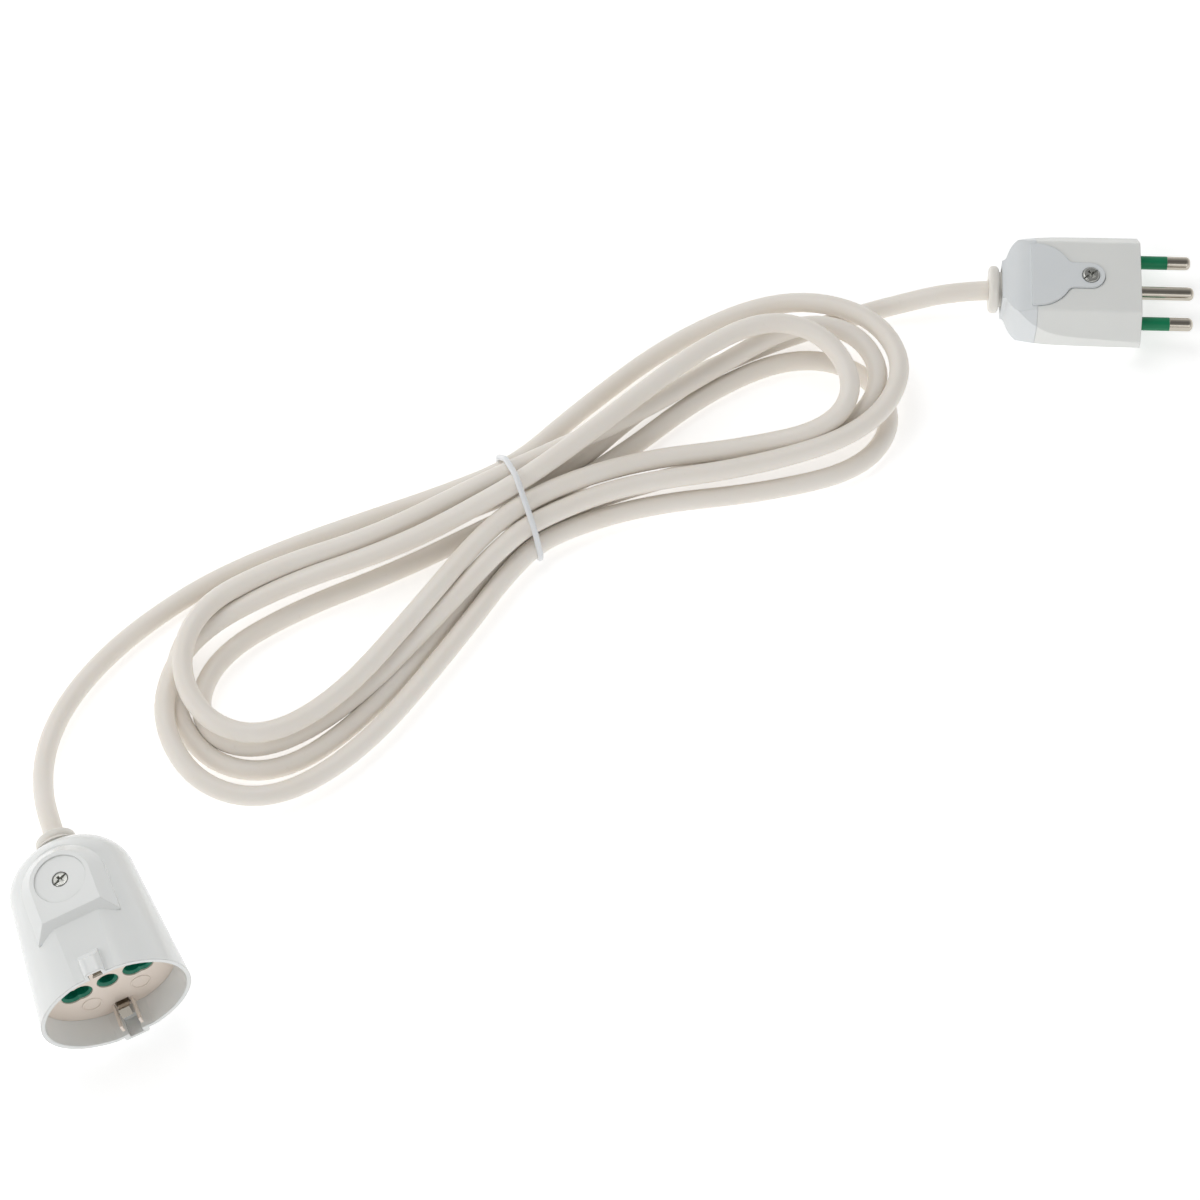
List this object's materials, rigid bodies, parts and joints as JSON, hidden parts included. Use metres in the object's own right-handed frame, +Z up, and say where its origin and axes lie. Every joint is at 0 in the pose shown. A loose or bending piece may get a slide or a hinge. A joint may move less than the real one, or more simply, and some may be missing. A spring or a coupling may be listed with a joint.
{
  "type": "extension cord",
  "caption": "White household extension cord wound and tied at the waist, with a round-pin plug and a recessed portable socket.",
  "frame": {"origin": "on the surface, under the middle of the socket", "axes": "+Z up; the socket opens towards -Y and its length lies along Y; the cable leaves it towards +Y and then runs towards +X"},
  "size_m": [0.4886, 0.1907, 0.0511],
  "materials": {
    "gloss_shell": "gloss",
    "face_plastic": "matte",
    "green_insert": "matte",
    "inner_plastic": "matte",
    "collar_plastic": "satin",
    "plug_shell": "matte",
    "sleeve_green": "matte",
    "nickel": "polished",
    "contact_brass": "satin",
    "zinc_steel": "satin",
    "cable_sheath": "satin",
    "core_brown": "satin",
    "core_blue": "satin",
    "core_yellow_green": "satin"
  },
  "bodies": {
    "cord_set": {"coil_tie": "cable_sheath", "cord_coil": "cable_sheath", "cord_plug_tail": "cable_sheath", "cord_socket_tail": "cable_sheath", "plug_body": "plug_shell", "plug_cable_collar": "collar_plastic", "plug_clamp_screws": "zinc_steel", "plug_cord_clamp": "inner_plastic", "plug_cover_screw": "zinc_steel", "plug_earth_core": "core_yellow_green", "plug_earth_pin": "nickel", "plug_live_core": "core_brown", "plug_live_pin": "nickel", "plug_live_sleeve": "sleeve_green", "plug_neutral_core": "core_blue", "plug_neutral_pin": "nickel", "plug_neutral_sleeve": "sleeve_green", "plug_rear_cover": "plug_shell", "plug_terminal_screws": "zinc_steel", "shutter_spring": "zinc_steel", "socket_aperture_insert": "green_insert", "socket_cable_collar": "collar_plastic", "socket_clamp_screws": "zinc_steel", "socket_contact_carrier": "inner_plastic", "socket_cord_clamp": "inner_plastic", "socket_cover_screw": "zinc_steel", "socket_earth_clips": "nickel", "socket_earth_contact": "contact_brass", "socket_earth_core": "core_yellow_green", "socket_face": "face_plastic", "socket_live_contact": "contact_brass", "socket_live_core": "core_brown", "socket_neutral_contact": "contact_brass", "socket_neutral_core": "core_blue", "socket_shell": "gloss_shell", "socket_terminal_screws": "zinc_steel"},
    "shutter": {"socket_shutter": "green_insert"}
  },
  "joints": [
    {"name": "shutter_slide", "type": "slide", "parent": "cord_set", "child": "shutter", "axis": [-0.1736, 0.171, 0.9698], "range_m": [0, 0.006], "stiffness_N_per_m": 120, "deforming": ["shutter_spring"]}
  ]
}
